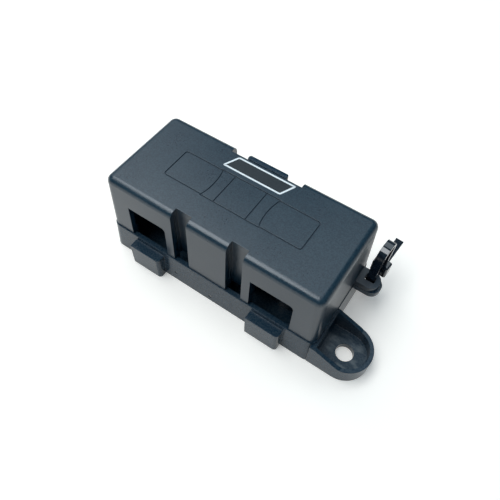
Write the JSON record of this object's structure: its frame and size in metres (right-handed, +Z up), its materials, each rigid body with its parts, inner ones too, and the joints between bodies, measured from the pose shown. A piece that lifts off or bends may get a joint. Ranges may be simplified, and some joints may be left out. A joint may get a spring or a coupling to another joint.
{
  "type": "bolt-down fuse holder",
  "caption": "Closed plastic holder for a bolt-down high-current fuse, with lift-off cover, cable windows, mounting ears and a tether tie.",
  "frame": {"origin": "middle of the box on the face it stands on, half way between the two studs", "axes": "+X along the box towards the cable tie, +Y from the cable windows to the latch, +Z up"},
  "size_m": [0.1248, 0.0564, 0.0378],
  "materials": {
    "base_plastic": "glossy black moulding",
    "cover_plastic": "fine spark-eroded black moulding",
    "tie_plastic": "glossy black nylon",
    "plated_steel": "zinc plated",
    "fuse_metal": "tin plated",
    "fuse_case": "light grey moulding"
  },
  "bodies": {
    "base": {"base_housing": "base_plastic", "right_stud": "plated_steel", "right_flat_washer": "plated_steel", "right_spring_washer": "plated_steel", "right_nut": "plated_steel", "left_stud": "plated_steel", "left_flat_washer": "plated_steel", "left_spring_washer": "plated_steel", "left_nut": "plated_steel", "fuse_strip": "fuse_metal", "fuse_case_lower": "fuse_case", "fuse_case_upper": "fuse_case"},
    "lid": {"cover": "cover_plastic"},
    "tie": {"cable_tie": "tie_plastic"}
  },
  "joints": [
    {"name": "cover_lift", "type": "slide", "parent": "base", "child": "lid", "axis": [0, 0, 1], "range_m": [0, 0.006]},
    {"name": "tie_swing", "type": "hinge", "parent": "lid", "child": "tie", "pos_m": [0.0485, 0.012, 0.014], "axis": [1, 0, 0], "range_deg": [-2, 2]}
  ]
}
